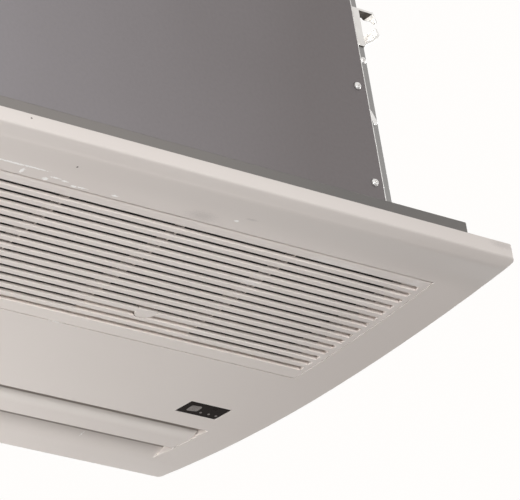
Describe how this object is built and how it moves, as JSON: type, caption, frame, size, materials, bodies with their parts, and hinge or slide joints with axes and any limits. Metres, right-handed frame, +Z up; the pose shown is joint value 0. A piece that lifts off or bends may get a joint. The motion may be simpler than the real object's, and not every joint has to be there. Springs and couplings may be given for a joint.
{
  "type": "ceiling cassette air conditioner",
  "caption": "One-way ceiling cassette air conditioner: steel casing on hanger brackets, crowned panel with a hinged louvred intake grille and an air flap.",
  "frame": {"origin": "middle of the panel, in the plane of the finished ceiling that the panel's rim closes on", "axes": "+Z up, X along the unit's length, -Y towards its rear edge and +Y towards the air outlet"},
  "size_m": [1, 0.47, 0.2864],
  "materials": {
    "galvanised": "satin",
    "zinc_plated": "satin",
    "ivory_plastic": "satin",
    "dark_frame": "matte",
    "seal_foam": "matte",
    "white_foam": "matte",
    "black_plastic": "satin",
    "grey_plastic": "satin",
    "fin_aluminium": "satin",
    "copper": "satin",
    "brass": "satin",
    "board": "matte"
  },
  "bodies": {
    "unit": {"casing_top": "galvanised", "casing_rear": "galvanised", "casing_front": "galvanised", "casing_end_right": "galvanised", "casing_end_left": "galvanised", "casing_bottom": "galvanised", "hanger_rear_right": "zinc_plated", "hanger_rear_left": "zinc_plated", "hanger_front_right": "zinc_plated", "hanger_front_left": "zinc_plated", "panel_moulding": "ivory_plastic", "panel_frame": "dark_frame", "panel_seal": "seal_foam", "flap_motor": "grey_plastic", "display_window": "black_plastic", "fan_motor": "galvanised", "motor_bracket": "galvanised", "fan_bearing": "black_plastic", "fan_scroll": "white_foam", "fan_stabiliser": "grey_plastic", "bulkhead_left": "galvanised", "bulkhead_right": "galvanised", "coil_fins": "fin_aluminium", "coil_end_left": "copper", "coil_end_right": "copper", "gas_pipe": "copper", "liquid_pipe": "copper", "gas_nut": "brass", "liquid_nut": "brass", "drain_pan": "white_foam", "drain_pump": "grey_plastic", "drain_hose": "grey_plastic", "drain_spigot": "grey_plastic", "electrical_box": "galvanised", "electrical_cover": "galvanised", "circuit_board": "board", "terminal_block": "black_plastic"},
    "grille": {"intake_grille": "ivory_plastic", "filter_left": "black_plastic", "filter_right": "black_plastic"},
    "latch_left": {"latch_left": "ivory_plastic"},
    "latch_right": {"latch_right": "ivory_plastic"},
    "flap": {"air_flap": "ivory_plastic"},
    "fan": {"fan_rotor": "black_plastic", "motor_shaft": "zinc_plated"},
    "float": {"drain_float": "white_foam"},
    "button": {"window_button": "black_plastic"},
    "vane_left_1": {"air_vane_left_1": "black_plastic"},
    "vane_left_2": {"air_vane_left_2": "black_plastic"},
    "vane_left_3": {"air_vane_left_3": "black_plastic"},
    "vane_left_4": {"air_vane_left_4": "black_plastic"},
    "link_left": {"vane_link_left": "black_plastic"},
    "vane_right_1": {"air_vane_right_1": "black_plastic"},
    "vane_right_2": {"air_vane_right_2": "black_plastic"},
    "vane_right_3": {"air_vane_right_3": "black_plastic"},
    "vane_right_4": {"air_vane_right_4": "black_plastic"},
    "link_right": {"vane_link_right": "black_plastic"}
  },
  "joints": [
    {"name": "grille_hinge", "type": "hinge", "parent": "unit", "child": "grille", "pos_m": [0, -0.1765, -0.01674], "axis": [-1, 0, 0], "range_deg": [0, 88]},
    {"name": "latch_left_slide", "type": "slide", "parent": "grille", "child": "latch_left", "axis": [0, -1, 0], "range_m": [0, 0.0048], "stiffness_N_per_m": 400, "springref_m": -0.002},
    {"name": "latch_right_slide", "type": "slide", "parent": "grille", "child": "latch_right", "axis": [0, -1, 0], "range_m": [0, 0.0048], "stiffness_N_per_m": 400, "springref_m": -0.002},
    {"name": "flap_hinge", "type": "hinge", "parent": "unit", "child": "flap", "pos_m": [0, 0.1265, -0.01], "axis": [-1, 0, 0], "range_deg": [0, 65]},
    {"name": "fan_spin", "type": "hinge", "parent": "unit", "child": "fan", "pos_m": [0, 0.087, 0.17], "axis": [1, 0, 0], "continuous": true},
    {"name": "float_slide", "type": "slide", "parent": "unit", "child": "float", "axis": [0, 0, 1], "range_m": [0, 0.012]},
    {"name": "button_press", "type": "slide", "parent": "unit", "child": "button", "axis": [0, 0, 1], "range_m": [0, 0.0008], "stiffness_N_per_m": 500, "springref_m": -0.0005},
    {"name": "vane_swing_left_1", "type": "hinge", "parent": "unit", "child": "vane_left_1", "pos_m": [-0.037, 0.142, 0.088], "axis": [0, 1, 0], "range_deg": [-35, 35]},
    {"name": "vane_swing_left_2", "type": "hinge", "parent": "unit", "child": "vane_left_2", "pos_m": [-0.111, 0.142, 0.088], "axis": [0, 1, 0], "range_deg": [-35, 35]},
    {"name": "vane_swing_left_3", "type": "hinge", "parent": "unit", "child": "vane_left_3", "pos_m": [-0.185, 0.142, 0.088], "axis": [0, 1, 0], "range_deg": [-35, 35]},
    {"name": "vane_swing_left_4", "type": "hinge", "parent": "unit", "child": "vane_left_4", "pos_m": [-0.259, 0.142, 0.088], "axis": [0, 1, 0], "range_deg": [-35, 35]},
    {"name": "link_left_pivot", "type": "hinge", "parent": "vane_left_1", "child": "link_left", "pos_m": [-0.037, 0.142, 0.058], "axis": [0, 1, 0], "range_deg": [-35, 35]},
    {"name": "vane_swing_right_1", "type": "hinge", "parent": "unit", "child": "vane_right_1", "pos_m": [0.037, 0.142, 0.088], "axis": [0, 1, 0], "range_deg": [-35, 35]},
    {"name": "vane_swing_right_2", "type": "hinge", "parent": "unit", "child": "vane_right_2", "pos_m": [0.111, 0.142, 0.088], "axis": [0, 1, 0], "range_deg": [-35, 35]},
    {"name": "vane_swing_right_3", "type": "hinge", "parent": "unit", "child": "vane_right_3", "pos_m": [0.185, 0.142, 0.088], "axis": [0, 1, 0], "range_deg": [-35, 35]},
    {"name": "vane_swing_right_4", "type": "hinge", "parent": "unit", "child": "vane_right_4", "pos_m": [0.259, 0.142, 0.088], "axis": [0, 1, 0], "range_deg": [-35, 35]},
    {"name": "link_right_pivot", "type": "hinge", "parent": "vane_right_1", "child": "link_right", "pos_m": [0.037, 0.142, 0.058], "axis": [0, 1, 0], "range_deg": [-35, 35]}
  ],
  "couplings": [
    {"joint": "vane_swing_left_2", "follows": "vane_swing_left_1", "ratio": 1},
    {"joint": "vane_swing_left_3", "follows": "vane_swing_left_1", "ratio": 1},
    {"joint": "vane_swing_left_4", "follows": "vane_swing_left_1", "ratio": 1},
    {"joint": "link_left_pivot", "follows": "vane_swing_left_1", "ratio": -1},
    {"joint": "vane_swing_right_2", "follows": "vane_swing_right_1", "ratio": 1},
    {"joint": "vane_swing_right_3", "follows": "vane_swing_right_1", "ratio": 1},
    {"joint": "vane_swing_right_4", "follows": "vane_swing_right_1", "ratio": 1},
    {"joint": "link_right_pivot", "follows": "vane_swing_right_1", "ratio": -1}
  ]
}
